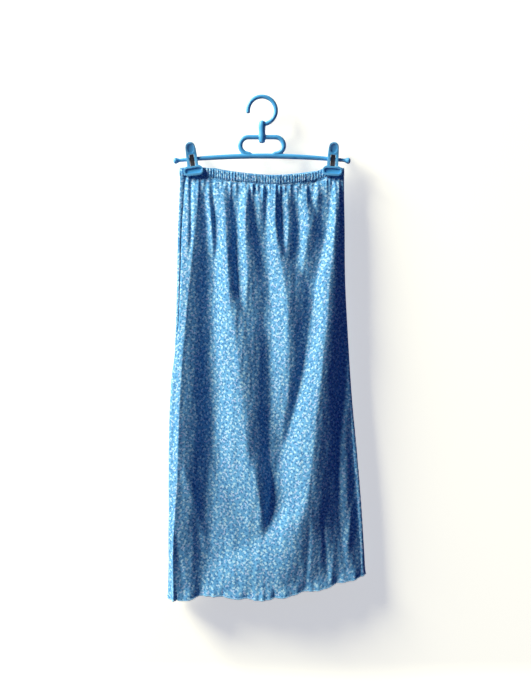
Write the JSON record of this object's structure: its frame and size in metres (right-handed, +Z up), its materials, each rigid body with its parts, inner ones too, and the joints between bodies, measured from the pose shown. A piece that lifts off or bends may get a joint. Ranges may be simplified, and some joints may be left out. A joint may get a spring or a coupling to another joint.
{
  "type": "maxi skirt on clip hanger",
  "caption": "Long flat-hanging skirt tube with a ruched elastic waist and wavy rolled hem, clipped to an arched plastic hanger with a handle loop and a round hook.",
  "frame": {"origin": "top of the inside of the hook, where a rail carries the hanger", "axes": "+Z up, the front faces -Y, +X to the right for someone who looks at the front"},
  "size_m": [0.4047, 0.0579, 1.0326],
  "materials": {
    "cloth": "soft knit with a small pale petal print on blue",
    "plastic": "satin moulded blue",
    "spring": "dull dark spring strip"
  },
  "bodies": {
    "root": {"skirt_front": "cloth", "skirt_back": "cloth", "waistband_casing": "cloth", "hanger_frame": "plastic", "clip_left_front": "plastic", "clip_left_back": "plastic", "clip_left_spring": "spring", "clip_right_front": "plastic", "clip_right_back": "plastic", "clip_right_spring": "spring"}
  },
  "joints": []
}
